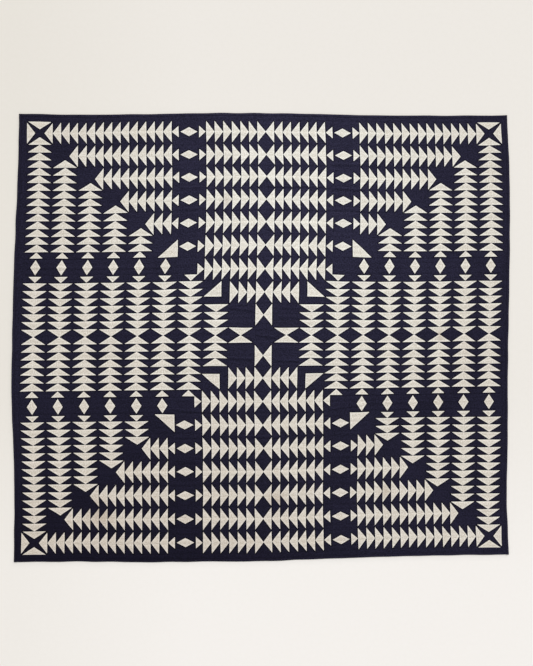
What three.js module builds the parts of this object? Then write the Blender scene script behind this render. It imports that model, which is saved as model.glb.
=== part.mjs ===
// A pieced and quilted bed coverlet, lying flat and face up on a surface.
// Millimetres, +Z up. The origin is under the middle of the coverlet, on the surface.
// Its panels, border strips and binding strips are thin closed sheets that lie side by side. The
// small patches in a panel differ by colour alone, so they aren't solids of their own.
import * as THREE from "three";

// Driving dimensions of the flat coverlet
const FLAT_WIDTH = 2030;
const FLAT_LENGTH = 1830;
const BINDING_WIDTH = 11;
const BORDER_WIDTH = 17;
const SEAM_GAP = 0.3;

// The pieced field, counted in patches from its upper left corner
const FIELD = 56;
const SASH = 18;
const ARM = 20;

// Thickness of the quilted cloth
const QUILTED_THICKNESS = 3.3;
const PUFF_RISE = 1.3;
const BORDER_CROWN = 0.6;
const BINDING_THICKNESS = 4.7;
const EDGE_THICKNESS = 1.8;
const EDGE_ROUNDING = 3.5;
const EDGE_ROUNDING_STEP = 1.1;

// Quilting lines run across the cloth, three to every two patches
const QUILTING_STEP = 2 / 3;
const PUFF_END = 7;

const NAVY = 0x262536;
const PIECED = 0x77747b;
const COTTON_ROUGHNESS = 0.92;

// How far each side stands out past the flat rectangle, at even shares of the way along it. The
// upper and lower sides are read from the left, the others from the top.
const SIDES = [
  { top: 4, right: -2, bottom: 8, left: -22 },
  { top: 0, right: 7, bottom: 6, left: -18 },
  { top: 2, right: 9, bottom: 8, left: -8 },
  { top: 6, right: 7, bottom: 6, left: 1 },
  { top: 7, right: 3, bottom: 4, left: 6 },
  { top: 2, right: 0, bottom: -5, left: 9 },
  { top: -3, right: 0, bottom: -14, left: 1 },
  { top: -4, right: -4, bottom: -20, left: -3 },
  { top: -3, right: 5, bottom: -23, left: -1 },
];

// How far the seams have drifted from even spacing, at even shares of the way over the field: to
// the right for the upright seams and upwards for the level ones
const SEAM_DRIFT = [
  { right: 0, up: 0 },
  { right: 2, up: 4 },
  { right: 4, up: 7 },
  { right: 8, up: 7 },
  { right: 11, up: 7 },
  { right: 7, up: 5 },
  { right: 0, up: 0 },
];

// Long waves that lift some puffs more than others
const WAVES = [
  { across: 940, down: 350, lift: 0.3 },
  { across: -430, down: 610, lift: 0.25 },
  { across: 270, down: -190, lift: 0.2 },
];

// Creases that cross a few rows, from one patch to another and so many patches down
const CREASES = [
  { from: 28, to: 36, down: 9, rise: 1.1 },
  { from: 25, to: 31, down: 28, rise: 0.9 },
  { from: 26, to: 30, down: 41, rise: 0.9 },
  { from: 0, to: 18, down: 19, rise: 0.7 },
  { from: 37, to: 56, down: 37, rise: 0.7 },
];
const CREASE_WIDTH = 0.5;

const EDGE = BINDING_WIDTH + BORDER_WIDTH;
const PATCH_WIDTH = (FLAT_WIDTH - 2 * EDGE) / FIELD;
const PATCH_LENGTH = (FLAT_LENGTH - 2 * EDGE) / FIELD;
const across = (patches) => EDGE + patches * PATCH_WIDTH;
const down = (patches) => EDGE + patches * PATCH_LENGTH;

const mix = (a, b, share) => a + (b - a) * share;

// A smooth curve through one column of a table whose rows are evenly spaced
function along(table, column, share) {
  const last = table.length - 1;
  const place = THREE.MathUtils.clamp(share, 0, 1) * last;
  const i = Math.min(Math.floor(place), last - 1);
  const value = (row) => table[THREE.MathUtils.clamp(row, 0, last)][column];
  const t = place - i;
  const slopeHere = (value(i + 1) - value(i - 1)) / 2;
  const slopeNext = (value(i + 2) - value(i)) / 2;
  const rise = value(i + 1) - value(i);
  return (
    value(i) +
    t * slopeHere +
    t * t * (3 * rise - 2 * slopeHere - slopeNext) +
    t * t * t * (slopeHere + slopeNext - 2 * rise)
  );
}

// Where a point of the flat cloth lies, with the bowed sides and drifted seams. The point is given
// as its distance from the cloth's left side and from its upper one.
function bowed(fromLeft, fromTop) {
  const overWidth = fromLeft / FLAT_WIDTH;
  const overLength = fromTop / FLAT_LENGTH;
  const x = mix(
    -FLAT_WIDTH / 2 - along(SIDES, "left", overLength),
    FLAT_WIDTH / 2 + along(SIDES, "right", overLength),
    overWidth,
  );
  const y = mix(
    FLAT_LENGTH / 2 + along(SIDES, "top", overWidth),
    -FLAT_LENGTH / 2 - along(SIDES, "bottom", overWidth),
    overLength,
  );
  const overField = (fromLeft - EDGE) / (FLAT_WIDTH - 2 * EDGE);
  const downField = (fromTop - EDGE) / (FLAT_LENGTH - 2 * EDGE);
  return {
    x: x + along(SEAM_DRIFT, "right", overField),
    y: y + along(SEAM_DRIFT, "up", downField),
  };
}

// Every sheet bends only where these lines cross it, so that neighbours share their edges exactly
const everyPatches = (step, from, to) =>
  Array.from({ length: (to - from) / step + 1 }, (_, i) => from + i * step);
const withEdges = (size, toFlat, patches) => [
  0,
  BINDING_WIDTH,
  ...patches.map(toFlat),
  size - BINDING_WIDTH,
  size,
];
const PATCHES_ACROSS = [
  ...everyPatches(3, 0, SASH),
  ...everyPatches(4, ARM, FIELD - ARM),
  ...everyPatches(3, FIELD - SASH, FIELD),
];
const UPRIGHTS = withEdges(FLAT_WIDTH, across, PATCHES_ACROSS);
const LEVELS = withEdges(FLAT_LENGTH, down, everyPatches(2, 0, FIELD));

// The pair of lines that a place falls between, and its share of the way from one to the next
function between(lines, place) {
  const next = lines.findIndex((line, i) => i > 0 && line >= place);
  const [low, high] = [lines[next - 1], lines[next]];
  return { low, high, share: (place - low) / (high - low) };
}

function placed(fromLeft, fromTop) {
  const a = between(UPRIGHTS, fromLeft);
  const b = between(LEVELS, fromTop);
  const [upperLeft, upperRight] = [bowed(a.low, b.low), bowed(a.high, b.low)];
  const [lowerLeft, lowerRight] = [bowed(a.low, b.high), bowed(a.high, b.high)];
  const blend = (axis) =>
    mix(
      mix(upperLeft[axis], upperRight[axis], a.share),
      mix(lowerLeft[axis], lowerRight[axis], a.share),
      b.share,
    );
  return { x: blend("x"), y: blend("y") };
}

// Thickness at a place in the pieced field. A crest is the middle of a puff between two quilting
// lines, and elsewhere the cloth is drawn down to its quilted thickness.
function fieldThickness(fromLeft, fromTop, crest) {
  if (!crest) return QUILTED_THICKNESS;
  const waves = WAVES.reduce(
    (sum, wave) =>
      sum +
      wave.lift * Math.sin(2 * Math.PI * (fromLeft / wave.across + fromTop / wave.down)),
    0,
  );
  const patchAcross = (fromLeft - EDGE) / PATCH_WIDTH;
  const patchDown = (fromTop - EDGE) / PATCH_LENGTH;
  const creased = CREASES.filter(
    (crease) =>
      patchAcross >= crease.from &&
      patchAcross <= crease.to &&
      Math.abs(patchDown - crease.down) < CREASE_WIDTH,
  );
  const rise = creased.reduce((sum, crease) => sum + crease.rise, 0);
  return QUILTED_THICKNESS + PUFF_RISE * (1 + waves) + rise;
}

// Distance to the nearest outer side of the flat cloth
const fromEdge = (fromLeft, fromTop) =>
  Math.min(fromLeft, fromTop, FLAT_WIDTH - fromLeft, FLAT_LENGTH - fromTop);

function borderThickness(fromLeft, fromTop) {
  const share = (fromEdge(fromLeft, fromTop) - BINDING_WIDTH) / BORDER_WIDTH;
  return QUILTED_THICKNESS + BORDER_CROWN * Math.sin(Math.PI * share);
}

// The binding is rounded at the outer edge and drawn down along its sewn inner edge
function bindingThickness(fromLeft, fromTop) {
  const inwards = fromEdge(fromLeft, fromTop);
  if (inwards < EDGE_ROUNDING) {
    const share = inwards / EDGE_ROUNDING;
    return mix(EDGE_THICKNESS, BINDING_THICKNESS, Math.sqrt(share * (2 - share)));
  }
  const share = (inwards - EDGE_ROUNDING) / (BINDING_WIDTH - EDGE_ROUNDING);
  return mix(BINDING_THICKNESS, QUILTED_THICKNESS, share * share);
}

// Fills the strip between an upper and a lower chain of vertices with faces that point up
function fillStrip(faces, upper, lower) {
  let i = 0;
  let j = 0;
  while (i < upper.length - 1 || j < lower.length - 1) {
    const upperNext = (i + 1) / (upper.length - 1);
    const lowerNext = (j + 1) / (lower.length - 1);
    if (j === lower.length - 1 || (i < upper.length - 1 && upperNext <= lowerNext)) {
      faces.push(upper[i], lower[j], upper[i + 1]);
      i += 1;
    } else {
      faces.push(upper[i], lower[j], lower[j + 1]);
      j += 1;
    }
  }
}

// A closed sheet with a flat underside and upright edges. Columns and rows are places on the flat
// cloth. A row with a crest stops short of the sheet's ends, so that its puff closes there.
function sheet(name, columns, rows, thickness, colour) {
  const vertices = [];
  const vertex = (fromLeft, fromTop, z) => {
    const { x, y } = placed(fromLeft, fromTop);
    vertices.push(x, y, z);
    return vertices.length / 3 - 1;
  };
  const endOf = (i) => (i === 0 ? 1 : i === columns.length - 1 ? -1 : 0);
  const top = rows.map(({ at, crest }) =>
    columns.map((column, i) => {
      const fromLeft = column + (crest ? PUFF_END * endOf(i) : 0);
      return vertex(fromLeft, at, thickness(fromLeft, at, crest));
    }),
  );
  const faces = [];
  for (let r = 0; r < rows.length - 1; r++) fillStrip(faces, top[r], top[r + 1]);
  const last = columns.length - 1;
  rows.forEach(({ crest }, r) => {
    if (!crest) return;
    faces.push(top[r - 1][0], top[r + 1][0], top[r][0]);
    faces.push(top[r - 1][last], top[r][last], top[r + 1][last]);
  });

  // The underside needs vertices only below the rim, whose rows are those without a crest. It is
  // filled between rungs that cross it the short way, so that a long bowed strip stays in outline.
  const ends = (row) => [row[0], row[row.length - 1]];
  const rimRows = rows.map(({ at, crest }, r) => ({ at, crest, chain: top[r] }))
    .filter((row) => !row.crest);
  const lowest = rimRows.length - 1;
  const under = rimRows.map(({ at }, r) =>
    (r === 0 || r === lowest ? columns : ends(columns)).map((column) => vertex(column, at, 0)),
  );
  if (columns.length > rimRows.length) {
    const rungs = columns.map((_, c) => [under[0][c], under[lowest][c]]);
    rungs[0] = under.map((row) => ends(row)[0]);
    rungs[last] = under.map((row) => ends(row)[1]);
    for (let c = 0; c < last; c++) fillStrip(faces, rungs[c], rungs[c + 1]);
  } else {
    for (let r = 0; r < lowest; r++) fillStrip(faces, under[r + 1], under[r]);
  }

  // Once round the edge, seen from above against the clock: down the left side, along the lower
  // one, up the right side and back along the upper one
  const round = (chains) => [
    ...chains.slice(0, -1).map((row) => ends(row)[0]),
    ...chains[chains.length - 1],
    ...chains.slice(1, -1).reverse().map((row) => ends(row)[1]),
    ...[...chains[0]].reverse(),
  ];
  const upperRim = round(rimRows.map((row) => row.chain));
  const lowerRim = round(under);
  for (let i = 0; i < upperRim.length - 1; i++) {
    faces.push(upperRim[i], lowerRim[i], lowerRim[i + 1]);
    faces.push(upperRim[i], lowerRim[i + 1], upperRim[i + 1]);
  }

  const geometry = new THREE.BufferGeometry();
  geometry.setAttribute("position", new THREE.Float32BufferAttribute(vertices, 3));
  geometry.setIndex(faces);
  geometry.computeVertexNormals();
  const material = new THREE.MeshStandardMaterial({
    color: colour,
    roughness: COTTON_ROUGHNESS,
    metalness: 0,
  });
  const mesh = new THREE.Mesh(geometry, material);
  mesh.name = name;
  return mesh;
}

// The shared lines that cross a span, with the span drawn in by half a seam gap at each end
function linesWithin(lines, low, high, extra = []) {
  const from = low + SEAM_GAP / 2;
  const to = high - SEAM_GAP / 2;
  const inside = [...lines, ...extra].filter((line) => line > from && line < to);
  return [from, ...inside.sort((p, q) => p - q), to];
}

const plainRows = (places) => places.map((at) => ({ at, crest: false }));

// Quilted rows: a quilting line, a crest, a quilting line and so on
function quiltedRows(topPatch, bottomPatch) {
  const puffs = Math.round((bottomPatch - topPatch) / QUILTING_STEP);
  const rows = [];
  for (let i = 0; i <= puffs; i++) {
    const line = down(topPatch + i * QUILTING_STEP);
    const inset = (i === 0 ? 1 : i === puffs ? -1 : 0) * (SEAM_GAP / 2);
    rows.push({ at: line + inset, crest: false });
    if (i < puffs) rows.push({ at: line + (QUILTING_STEP * PATCH_LENGTH) / 2, crest: true });
  }
  return rows;
}

// A panel of the field, given by the patches that it spans
function panel(name, [left, right], [top, bottom], colour) {
  const columns = linesWithin(UPRIGHTS, across(left), across(right));
  return sheet(name, columns, quiltedRows(top, bottom), fieldThickness, colour);
}

// A strip of the border or binding, given by its places on the flat cloth
function strip(name, [left, right], [top, bottom], thickness, roundings = []) {
  const mirrored = (size) => roundings.flatMap((place) => [place, size - place]);
  const columns = linesWithin(UPRIGHTS, left, right, mirrored(FLAT_WIDTH));
  const rows = plainRows(linesWithin(LEVELS, top, bottom, mirrored(FLAT_LENGTH)));
  return sheet(name, columns, rows, thickness, NAVY);
}

const flipped = ([from, to], size) => [size - to, size - from];

const coverlet = new THREE.Group();
coverlet.name = "coverlet";

// The panels of the upper left quarter, and their mirror images in the other three
const QUARTER = [
  { name: "corner_panel", across: [0, SASH], down: [0, SASH], colour: PIECED },
  { name: "upright_sash", across: [SASH, ARM], down: [0, SASH], colour: NAVY },
  { name: "level_sash", across: [0, SASH], down: [SASH, ARM], colour: NAVY },
  { name: "sash_square", across: [SASH, ARM], down: [SASH, ARM], colour: NAVY },
];
for (const piece of QUARTER) {
  for (const side of ["left", "right"]) {
    for (const end of ["top", "bottom"]) {
      const spanAcross = side === "left" ? piece.across : flipped(piece.across, FIELD);
      const spanDown = end === "top" ? piece.down : flipped(piece.down, FIELD);
      coverlet.add(panel(`${piece.name}_${end}_${side}`, spanAcross, spanDown, piece.colour));
    }
  }
}

const MIDDLE = [ARM, FIELD - ARM];
const NEAR = [0, ARM];
coverlet.add(panel("arm_panel_top", MIDDLE, NEAR, PIECED));
coverlet.add(panel("arm_panel_bottom", MIDDLE, flipped(NEAR, FIELD), PIECED));
coverlet.add(panel("arm_panel_left", NEAR, MIDDLE, PIECED));
coverlet.add(panel("arm_panel_right", flipped(NEAR, FIELD), MIDDLE, PIECED));
coverlet.add(panel("centre_panel", MIDDLE, MIDDLE, PIECED));

// The side strips run the full length, and the upper and lower ones fit between them
function frameStrips(name, outer, width, thickness, roundings) {
  const inner = outer + width;
  const sideLength = [outer, FLAT_LENGTH - outer];
  const crossLength = [inner, FLAT_WIDTH - inner];
  const near = [outer, inner];
  return [
    strip(`${name}_left`, near, sideLength, thickness, roundings),
    strip(`${name}_right`, flipped(near, FLAT_WIDTH), sideLength, thickness, roundings),
    strip(`${name}_top`, crossLength, near, thickness, roundings),
    strip(`${name}_bottom`, crossLength, flipped(near, FLAT_LENGTH), thickness, roundings),
  ];
}
const borderMiddle = BINDING_WIDTH + BORDER_WIDTH / 2;
const bindingFold = [EDGE_ROUNDING_STEP, EDGE_ROUNDING];
coverlet.add(
  ...frameStrips("border", BINDING_WIDTH, BORDER_WIDTH, borderThickness, [borderMiddle]),
  ...frameStrips("binding", 0, BINDING_WIDTH, bindingThickness, bindingFold),
);

// The bowed sides aren't quite even about the middle, so the whole is centred over the origin
const extent = new THREE.Box3().setFromObject(coverlet);
coverlet.position.set(
  -(extent.min.x + extent.max.x) / 2,
  -(extent.min.y + extent.max.y) / 2,
  0,
);

export default coverlet;
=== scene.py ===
# %% [markdown]
# A pieced and quilted coverlet
#
# A bed coverlet made of flying geese: off-white triangles, each sewn between two navy ones, in rows
# that run out from a plain star. Three layers, the pieced top, a thin batting and a backing, are
# sewn together with rows of running stitches, and a folded strip binds the edge. The model lies
# flat and face up. Everything below is in metres, in the frame's own axes: +X to the right of the
# face, +Y to its upper edge, +Z up out of the cloth.

# %% Load the frame
import math

import bpy
import numpy as np
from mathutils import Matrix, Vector
from mathutils.bvhtree import BVHTree
from mathutils.geometry import delaunay_2d_cdt
from mathutils.kdtree import KDTree


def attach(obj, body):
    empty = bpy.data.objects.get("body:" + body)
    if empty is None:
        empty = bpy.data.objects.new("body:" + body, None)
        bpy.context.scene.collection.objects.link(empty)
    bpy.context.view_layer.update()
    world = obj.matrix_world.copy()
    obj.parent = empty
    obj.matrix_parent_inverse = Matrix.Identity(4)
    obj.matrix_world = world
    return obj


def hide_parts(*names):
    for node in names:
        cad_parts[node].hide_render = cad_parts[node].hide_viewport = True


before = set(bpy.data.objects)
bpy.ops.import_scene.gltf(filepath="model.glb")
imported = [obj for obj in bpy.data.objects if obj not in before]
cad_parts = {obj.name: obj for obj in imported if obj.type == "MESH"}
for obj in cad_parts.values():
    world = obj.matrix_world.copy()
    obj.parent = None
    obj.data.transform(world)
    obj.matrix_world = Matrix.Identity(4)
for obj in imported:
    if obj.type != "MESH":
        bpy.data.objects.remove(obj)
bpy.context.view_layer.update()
BODY = "root"
MM = 0.001

# %% [markdown]
# Sizes
#
# A quilt is planned in patches. The pieced field here is 56 patches wide and 56 long, and all that
# is in it is counted in patches from its upper left corner: across, then down. One goose is a
# patch deep and three patches wide. A border and a binding go round the field.

# %% Driving sizes
FLAT = np.array([2.030, 1.830])  # width and length of the whole coverlet, spread flat
BINDING_WIDTH = 11 * MM
BORDER_WIDTH = 17 * MM
EDGE = BINDING_WIDTH + BORDER_WIDTH
FIELD = 56
SASH = 18  # patches from the field's edge to the sash of diamonds
ARM = 20  # and to the arms of the cross
PATCH = (FLAT - 2 * EDGE) / FIELD
print("one patch is", (PATCH / MM).round(2), "mm")

# %% [markdown]
# How the cloth lies
#
# An old quilt is no true rectangle. Its sides bow and its seams drift, by up to a few centimetres.
# So each point is first placed on the flat cloth, as its distance from the left side and from the
# upper one, and then moved to where it lies. Short tables give how far each side stands out and how
# far the seams of the field have drifted, and smooth curves run through their rows. The drift dies
# out over the border, so that the binding keeps its width.

# %% How far the sides stand out and the seams drift
SIDES = {  # how far each side stands out, at even shares of the way along it, in millimetres
    "top": [4, 0, 2, 6, 7, 2, -3, -4, -3],
    "right": [-2, 7, 9, 7, 3, 0, 0, -4, 5],
    "bottom": [8, 6, 8, 6, 4, -5, -14, -20, -23],
    "left": [-22, -18, -8, 1, 6, 9, 1, -3, -1],
}
SEAM_DRIFT = {  # how far the seams have drifted: a row for each quarter of the way down the field
    "right": [[6, 7, 10, 11, 1], [9, 11, 14, 12, 4], [5, 7, 13, 15, 1], [0, 5, 12, 10, 4], [2, 4, 10, 10, 1]],
    "up": [[-4, 2, -2, 0, -1], [1, 6, 12, 4, 4], [2, 8, 8, 4, 7], [2, 8, 5, 9, 8], [1, 2, 2, 3, 2]],
}


def smooth(share):
    share = np.clip(share, 0, 1)
    return share * share * (3 - 2 * share)


def along(row, share):
    """A smooth curve through a row of millimetres that are evenly spaced, read at a share of its length."""
    row = np.pad(np.array(row, float), 1, mode="edge") * MM
    place = np.clip(share, 0, 1) * (len(row) - 3)
    i = np.minimum(place.astype(int), len(row) - 4)
    t = place - i
    before, here, after, beyond = (row[i + k] for k in range(4))
    start, end, rise = (after - before) / 2, (beyond - here) / 2, after - here
    return here + t * start + t**2 * (3 * rise - 2 * start - end) + t**3 * (start + end - 2 * rise)


# %% Where a point of the flat cloth lies
def drifted(rows, over):
    """A table of drift, read smoothly at the share across and the share down."""
    curves = np.array([along(row, over[:, 0]) for row in rows])
    place = np.clip(over[:, 1], 0, 1) * (len(rows) - 1)
    i = np.minimum(place.astype(int), len(rows) - 2)
    share, point = smooth(place - i), np.arange(len(over))
    return curves[i, point] * (1 - share) + curves[i + 1, point] * share


def bowed(flat):
    over = flat / FLAT
    left, right = (along(SIDES[side], over[:, 1]) for side in ("left", "right"))
    top, bottom = (along(SIDES[side], over[:, 0]) for side in ("top", "bottom"))
    x = -FLAT[0] / 2 - left + over[:, 0] * (FLAT[0] + left + right)
    y = FLAT[1] / 2 + top - over[:, 1] * (FLAT[1] + top + bottom)
    in_field = (flat - EDGE) / (FLAT - 2 * EDGE)
    from_edge = np.minimum(flat, FLAT - flat).min(1)
    held = smooth((from_edge - BINDING_WIDTH) / BORDER_WIDTH)
    drift = [held * drifted(SEAM_DRIFT[way], in_field) for way in ("right", "up")]
    return np.column_stack([x, y]) + np.column_stack(drift)


# %% [markdown]
# Hand piecing also wanders a little from patch to patch, which the eye reads as handwork. A few
# long waves with seeded lengths and directions do that: they are smooth, so neighbours still meet.

# %% The wander of hand piecing
rng = np.random.default_rng(1856)
WANDER_WAVES = 9
WANDER_SIZE = 0.22 * MM
MOST_TURNS = 9  # of one wave over a metre of cloth
wander_turns = rng.uniform(-MOST_TURNS, MOST_TURNS, (WANDER_WAVES, 2))
wander_start = rng.uniform(0, 2 * np.pi, (WANDER_WAVES, 2))


def laid_freely(flat):
    phase = 2 * np.pi * flat @ wander_turns.T
    moved = [np.sin(phase + wander_start[:, axis]).sum(1) * WANDER_SIZE for axis in (0, 1)]
    return bowed(flat + np.column_stack(moved))


# %% Centre the cloth over the origin
OUTLINE_STEPS = 200


def outline_of_cloth():
    share = np.linspace(0, 1, OUTLINE_STEPS)[:, None]
    near, far = np.zeros_like(share), np.ones_like(share)
    sides = [(share, near), (share, far), (near, share), (far, share)]
    return np.vstack([np.hstack(side) for side in sides]) * FLAT


outline = laid_freely(outline_of_cloth())
cloth_middle = (outline.min(0) + outline.max(0)) / 2


def laid(flat):
    """Where points of the flat cloth lie, with the coverlet centred over the origin."""
    return laid_freely(np.asarray(flat, float)) - cloth_middle


print("the cloth spans", np.ptp(outline, axis=0).round(4), "m")

# %% [markdown]
# The chart of patches
#
# A quilter draws one block and repeats it. The pattern here is the same in all four quarters, and
# within a quarter the rows that run across match the columns that run down. So the chart names only
# what runs across in the upper left quarter. One function turns its rows into columns and mirrors
# the quarter, and the whole field follows: 952 off-white patches from a few short loops.

# %% Shapes of the patches
BLOCK = 3  # a block is three patches each way
GOOSE = {"depth": 0.98, "base": 2.78}  # patches, and a little less than one by three
CORNER_GOOSE = {"depth": 0.96, "base": 2.68}
SMALL_GOOSE = {"depth": 0.77, "base": 1.5}
DIAMOND = {"half_length": 0.99, "half_width": 0.58}
HALF_SQUARES = [  # the corners of the two on the diagonal of a quarter
    [(15.6, 17.85), (17.85, 15.6), (17.85, 17.85)],
    [(21.02, 23.03), (23.05, 21.08), (23.05, 23.03)],
]


def goose(base_at, middle, facing, depth, base):
    """A goose with an upright base that flies to the left (-1) or to the right (1)."""
    tip = (base_at + facing * depth, middle)
    return [(base_at, middle - base / 2), tip, (base_at, middle + base / 2)]


def diamond(across, down, half_length, half_width):
    level = [(across - half_length, down), (across + half_length, down)]
    upright = [(across, down - half_width), (across, down + half_width)]
    return [level[0], upright[0], level[1], upright[1]]


def square_piece(left, top, width=1, length=BLOCK):
    return [(left, top), (left + width, top), (left + width, top + length), (left, top + length)]


# %% Chart one quarter of the field
CORNER_ROW_STARTS = [3, 5, 8, 11, 14]  # where each corner row's first goose has its tip
ARM_ROW_STARTS = [21] * 7 + [24, 27]  # and where each arm row's first goose has its base
SMALL_GOOSE_INSET = 0.2  # how far in from the seam at its base each kind of goose sits
ARM_INSET = 0.04
CORNER_INSET = 0.01
STAR_SPREAD = 0.13  # how far out the blocks beside the centre star were sewn


def rows_across():
    """The off-white patches that point across, and the seams round each goose and its navy sides."""
    white, seams = [], []
    for k, start in enumerate(CORNER_ROW_STARTS):
        middle = BLOCK * (k + 0.5)
        for left in range(start, SASH - 1):
            white.append(goose(left + 1, middle, -1, **GOOSE))
            if k == 0 or left > start:
                seams.append(square_piece(left, BLOCK * k))
        white.append(goose(SASH - SMALL_GOOSE_INSET, middle, -1, **SMALL_GOOSE))
        seams.append(square_piece(SASH - 1, BLOCK * k))
        seams.append(square_piece(BLOCK * k, BLOCK * k, BLOCK))
    for k, start in enumerate(ARM_ROW_STARTS):
        spread = STAR_SPREAD if start == FIELD // 2 - 1 else 0
        middle = BLOCK * (k + 0.5) - spread
        for left in range(start, FIELD // 2):
            white.append(goose(left + ARM_INSET, middle, 1, **GOOSE))
            seams.append(square_piece(left, BLOCK * k - spread))
        if start == ARM + 1:
            white.append(goose(ARM + SMALL_GOOSE_INSET, middle, 1, **SMALL_GOOSE))
            if middle < SASH:
                seams.append(square_piece(ARM, BLOCK * k))
    white.append(goose(CORNER_INSET, BLOCK / 2, 1, **CORNER_GOOSE))
    white.append(goose(BLOCK, BLOCK / 2, -1, **CORNER_GOOSE))
    for k in range(SASH // BLOCK):
        white.append(diamond(SASH + 1, BLOCK * (k + 0.5), **DIAMOND))
        seams.append(square_piece(SASH, BLOCK * k, ARM - SASH))
    return white, seams


# %% [markdown]
# Swapping across and down turns a row into a column, and taking a place from 56 mirrors it. The two
# half squares and the plain squares lie on the diagonal, so they need no swap.

# %% Fill the whole field
def whole_field(across, on_diagonal):
    quarter = across + [[(v, u) for u, v in shape] for shape in across] + on_diagonal
    flips = [(left, top) for left in (False, True) for top in (False, True)]
    return [
        [(FIELD - u if left else u, FIELD - v if top else v) for u, v in shape]
        for left, top in flips
        for shape in quarter
    ]


white_across, seams_across = rows_across()
off_white = whole_field(white_across, HALF_SQUARES)
plain_squares = [
    square_piece(SASH, SASH, ARM - SASH, ARM - SASH),
    square_piece(SASH - BLOCK, SASH - BLOCK, BLOCK, BLOCK),
    *(square_piece(k * BLOCK, k * BLOCK, BLOCK, BLOCK) for k in (7, 8)),
]
navy_squares = whole_field(seams_across, plain_squares)
shapes = off_white + navy_squares
GRAIN_TURN = math.radians(3)
shape_tone = rng.random(len(shapes))  # each piece of cloth is a shade lighter or darker
shape_grain = rng.normal(0, GRAIN_TURN, len(shapes))  # and its threads are a little turned
print(len(off_white), "off-white patches and", len(navy_squares), "squares of seams")

# %% [markdown]
# Seams
#
# A seam draws the cloth down, and its folded edges lie under the darker side, where they show as a
# low ridge. Both follow from how far a point is from the nearest seam. Where off-white meets navy
# light is painted into the colour too: a painted line of shadow on the navy and a painted pale rim
# on the off-white. So points along all seams go in one search tree, and those round the off-white
# patches in another.
# Every piece asks the same trees, so that neighbours agree on their edges.

# %% Distance to the nearest seam
SEAM_SPACING = 1 / 36  # patches


def points_round(outlines):
    points = []
    for shape in outlines:
        for a, b in zip(shape, shape[1:] + shape[:1]):
            a, b = np.array(a), np.array(b)
            steps = max(2, math.ceil(np.abs(b - a).max() / SEAM_SPACING))
            points.append(a + (b - a) * np.arange(steps)[:, None] / steps)
    return np.unique(np.vstack(points).round(4), axis=0) * PATCH


def search_tree(outlines):
    places = points_round(outlines)
    found = KDTree(len(places))
    for number, (across, down) in enumerate(places):
        found.insert((across, down, 0), number)
    found.balance()
    print(len(places), "points round", len(outlines), "outlines")
    return found


def distance(found, patches):
    return np.array([found.find((x, y, 0))[2] for x, y in patches * PATCH])


seams, colour_edges = search_tree(shapes), search_tree(off_white)

# %% [markdown]
# Quilting
#
# Rows of running stitches cross the whole cloth about 21 mm apart and pull its layers together, so
# the cloth puffs up between them. No two puffs are alike, and washing shrinks the batting unevenly,
# so each puff is fuller in some places than in others. Each puff has a short row of seeded numbers
# that says how full it is along its length.

# %% Puffs between the rows of stitches
QUILTED_THICKNESS = 3.3 * MM
PUFF_RISE = 1.0 * MM
PUFF_ROUNDNESS = 0.8  # 1 is the round back of a sine wave, and less is flatter
QUILTING_STEP = 2 / 3  # patches between two rows of stitches
PUFFS = round(FIELD / QUILTING_STEP)
LEAST_FULL, MOST_FULL = 0.3, 1.7
FULLNESS_PLACES = 23
puff_fullness = rng.uniform(LEAST_FULL, MOST_FULL, (PUFFS, FULLNESS_PLACES))


def crest(down):
    """0 on a row of stitches and 1 midway between two."""
    share = down / QUILTING_STEP
    return np.sin(np.pi * (share - np.floor(share))) ** PUFF_ROUNDNESS


def fullness(across, down):
    puff = np.clip((down / QUILTING_STEP).astype(int), 0, PUFFS - 1)
    place = np.clip(across / FIELD, 0, 1) * (FULLNESS_PLACES - 1)
    i = np.minimum(place.astype(int), FULLNESS_PLACES - 2)
    share = smooth(place - i)
    return puff_fullness[puff, i] * (1 - share) + puff_fullness[puff, i + 1] * share


# %% [markdown]
# Creases stay where the cloth was folded or stored. Each is a soft ridge with a trough below it,
# with a painted highlight above and painted shade in the fold. They follow no rule, so they are
# listed, a row for each, and one function turns all the rows into a height and a painted mark.

# %% The creases
CREASES = [  # patches across from, to, patches down, how much lower the far end is, rise in millimetres
    (27.6, 35.6, 8.9, -0.1, 1.3),
    (23.8, 26.6, 24.36, -0.3, 1.1),
    (23.6, 27.2, 24.55, 0.5, 1.5),
    (29.3, 32.4, 24.65, 0.0, 0.7),
    (29.3, 32.7, 25.7, 0.2, 0.6),
    (26.5, 29.6, 27.35, 0.0, 0.6),
    (26.8, 29.8, 28.06, 0.35, 1.4),
    (23.8, 27.2, 30.98, 0.2, 1.2),
    (24.3, 26.8, 32.3, -0.1, 0.4),
    (29.0, 32.6, 31.38, 0.1, 1.6),
    (26.0, 30.0, 41.1, 0.1, 0.9),
    (0.0, 17.2, 19.1, 0.2, 0.6),
    (39.8, 56.0, 37.0, -0.1, 0.6),
    (35.4, 39.6, 5.8, 0.0, 0.8),
    (35.4, 39.8, 9.0, 0.1, 1.2),
    (35.6, 39.6, 11.8, 0.0, 0.7),
    (17.4, 21.2, 8.9, 0.1, 0.8),
    (17.2, 21.4, 11.8, -0.1, 0.7),
    (17.4, 20.6, 18.9, 0.1, 0.6),
    (35.2, 38.8, 19.0, -0.1, 0.5),
    (17.0, 21.4, 37.5, 0.5, 1.1),
    (17.4, 21.0, 41.2, 0.0, 0.8),
    (17.2, 21.2, 44.1, 0.4, 0.8),
    (17.4, 20.8, 47.2, 0.0, 0.6),
    (17.4, 21.0, 53.4, 0.0, 0.7),
    (35.2, 39.8, 37.8, -0.5, 1.1),
    (35.4, 39.0, 41.0, 0.1, 0.6),
    (35.6, 39.2, 44.0, 0.0, 0.6),
]
print(len(CREASES), "creases")
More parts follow.
